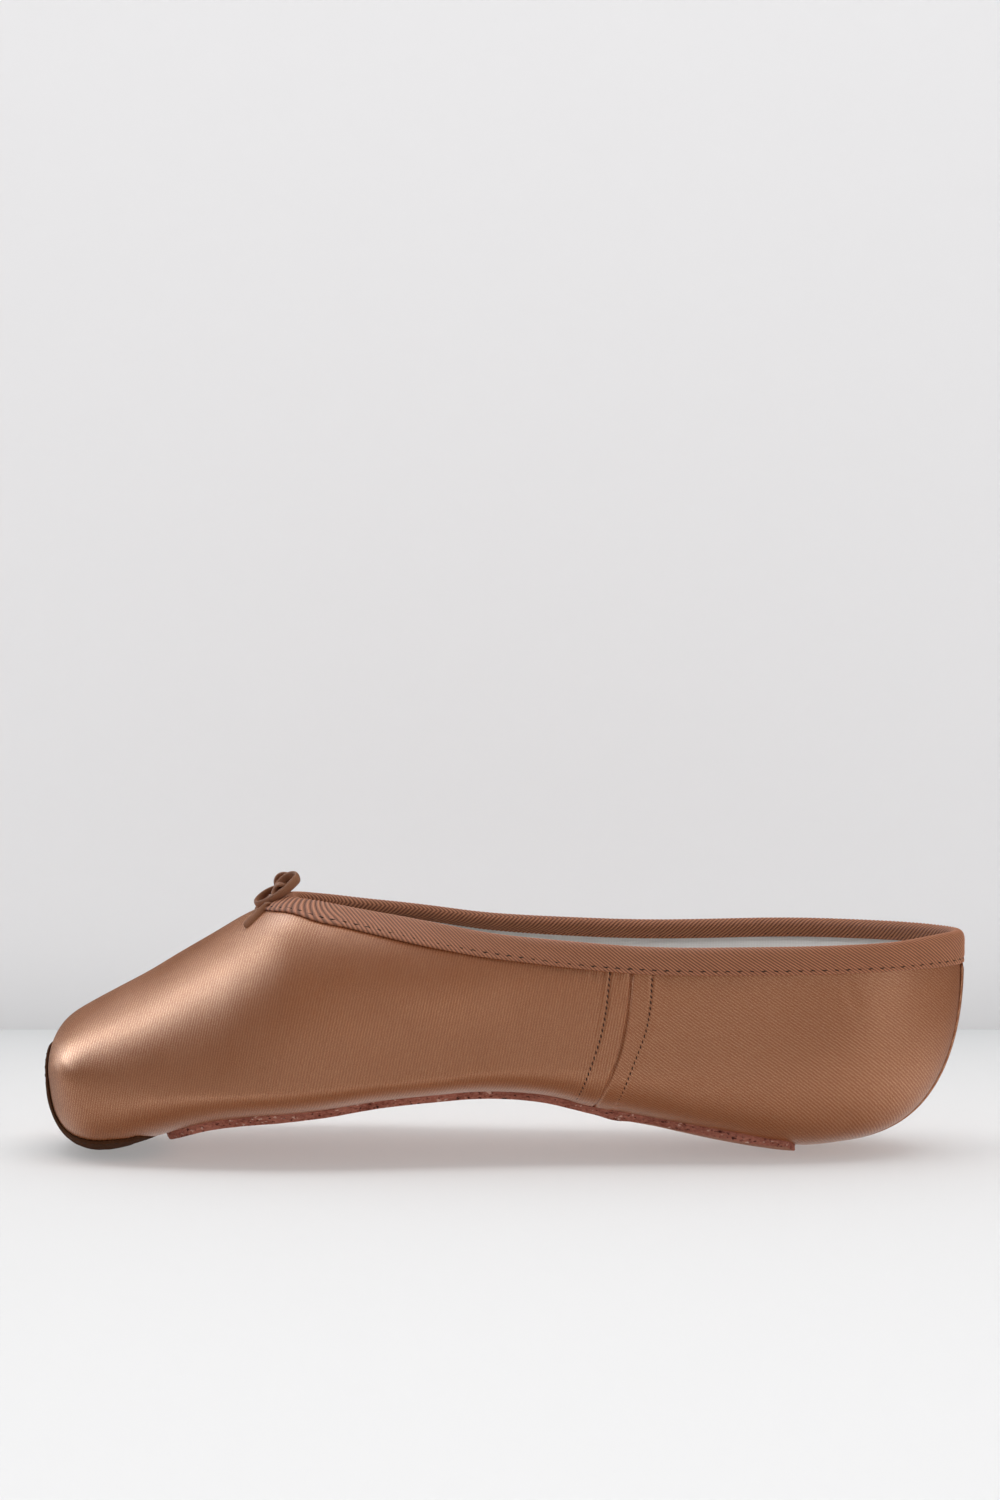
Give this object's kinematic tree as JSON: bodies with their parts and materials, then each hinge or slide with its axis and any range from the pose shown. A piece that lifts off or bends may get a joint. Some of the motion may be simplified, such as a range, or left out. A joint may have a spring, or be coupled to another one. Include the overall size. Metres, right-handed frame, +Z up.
{
  "type": "pointe shoe",
  "caption": "Satin pointe shoe with a stiff tapering toe box, open low collar, thin arched leather sole shorter than the shoe, folded collar tape and a small drawstring bow.",
  "frame": {"origin": "on the floor under the middle of the shoe's length and width", "axes": "+X from toe to heel along the shoe, +Y across it, +Z up"},
  "size_m": [0.23, 0.072, 0.0691],
  "materials": {
    "satin": "glossy satin weave",
    "outsole_leather": "matt split leather with a raw fibrous edge",
    "insole_cotton": "matt plain-weave cotton",
    "collar_twill": "matt ribbed twill tape",
    "toe_suede": "matt napped suede"
  },
  "bodies": {
    "root": {"upper": "satin", "outsole": "outsole_leather", "insole": "insole_cotton", "collar_binding": "collar_twill", "toe_tip": "toe_suede", "back_seam_tape": "satin", "drawstring_knot": "collar_twill", "drawstring_loop_near": "collar_twill", "drawstring_loop_far": "collar_twill", "drawstring_tail_near": "collar_twill", "drawstring_tail_far": "collar_twill"}
  },
  "joints": []
}
